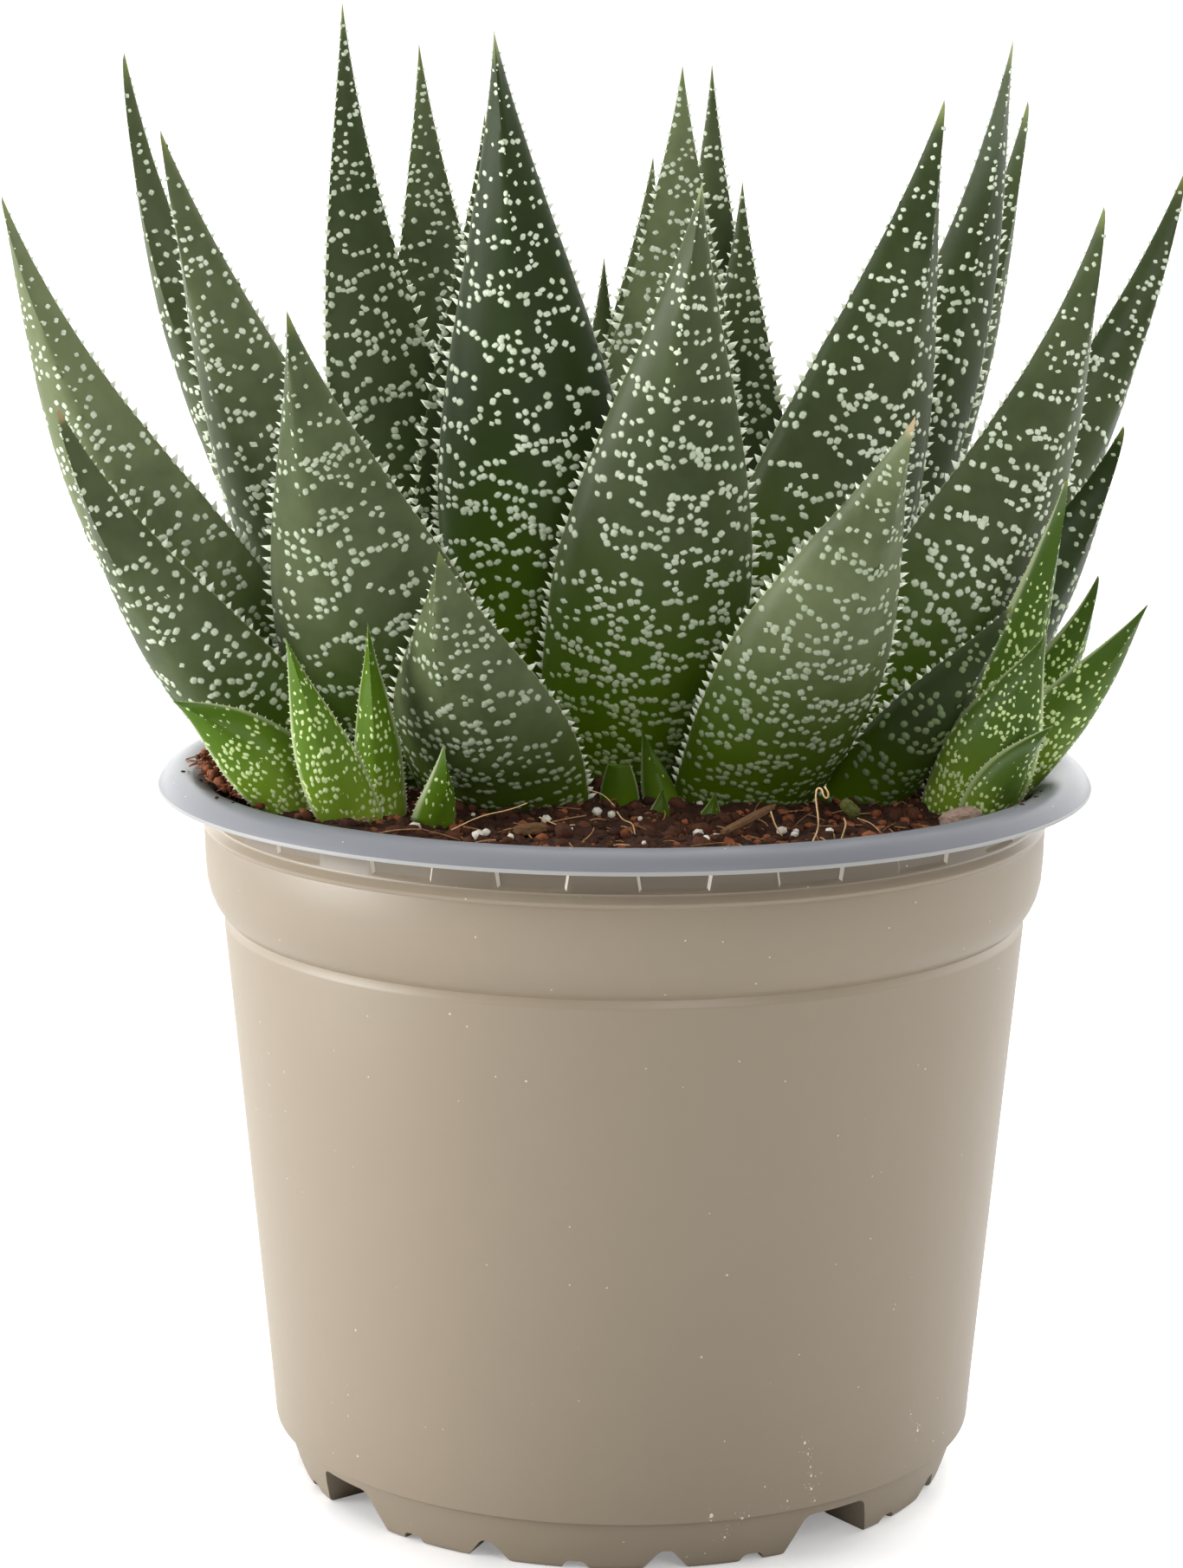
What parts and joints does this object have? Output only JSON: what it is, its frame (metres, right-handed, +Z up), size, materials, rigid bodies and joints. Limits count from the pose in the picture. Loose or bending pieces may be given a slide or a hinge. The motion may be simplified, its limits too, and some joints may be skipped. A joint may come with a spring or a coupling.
{
  "type": "potted gasteria",
  "caption": "Clump of toothed, spotted succulent leaves with small offsets, growing in soil in a round tapered nursery pot with a flanged rim and drain gaps in its foot.",
  "frame": {"origin": "where the pot's axis meets the surface that its feet stand on", "axes": "+Z up, -Y towards the viewer of the picture, +X to that viewer's right"},
  "size_m": [0.1532, 0.12, 0.1895],
  "materials": {
    "pot": "satin moulded plastic, taupe outside, grey on the rim and inside",
    "soil": "loose dark peat and coir",
    "stem": "dull, fibrous",
    "leaf": "waxy, with pale tubercles",
    "offset_leaf": "waxy, bright green, with pale spots and edges"
  },
  "bodies": {
    "root": {"pot": "pot", "soil": "soil", "left_crown_stem": "stem", "right_crown_stem": "stem", "left_offset_stem": "stem", "right_offset_stem": "stem", "front_offset_stem": "stem", "left_leaf_01": "leaf", "left_leaf_02": "leaf", "left_leaf_03": "leaf", "left_leaf_04": "leaf", "left_leaf_05": "leaf", "left_leaf_06": "leaf", "left_leaf_07": "leaf", "left_leaf_08": "leaf", "left_leaf_09": "leaf", "left_leaf_10": "leaf", "left_leaf_11": "leaf", "left_leaf_12": "leaf", "left_leaf_13": "leaf", "left_leaf_14": "leaf", "left_leaf_15": "leaf", "left_leaf_16": "leaf", "right_leaf_01": "leaf", "right_leaf_02": "leaf", "right_leaf_03": "leaf", "right_leaf_04": "leaf", "right_leaf_05": "leaf", "right_leaf_06": "leaf", "right_leaf_07": "leaf", "right_leaf_08": "leaf", "right_leaf_09": "leaf", "right_leaf_10": "leaf", "right_leaf_11": "leaf", "right_leaf_12": "leaf", "right_leaf_13": "leaf", "right_leaf_14": "leaf", "right_leaf_15": "leaf", "right_leaf_16": "leaf", "left_offset_leaf_1": "offset_leaf", "left_offset_leaf_2": "offset_leaf", "left_offset_leaf_3": "offset_leaf", "left_offset_leaf_4": "offset_leaf", "left_offset_leaf_5": "offset_leaf", "right_offset_leaf_1": "offset_leaf", "right_offset_leaf_2": "offset_leaf", "right_offset_leaf_3": "offset_leaf", "right_offset_leaf_4": "offset_leaf", "right_offset_leaf_5": "offset_leaf", "front_offset_leaf_1": "offset_leaf", "front_offset_leaf_2": "offset_leaf", "front_offset_leaf_3": "offset_leaf", "front_offset_leaf_4": "offset_leaf"}
  },
  "joints": []
}
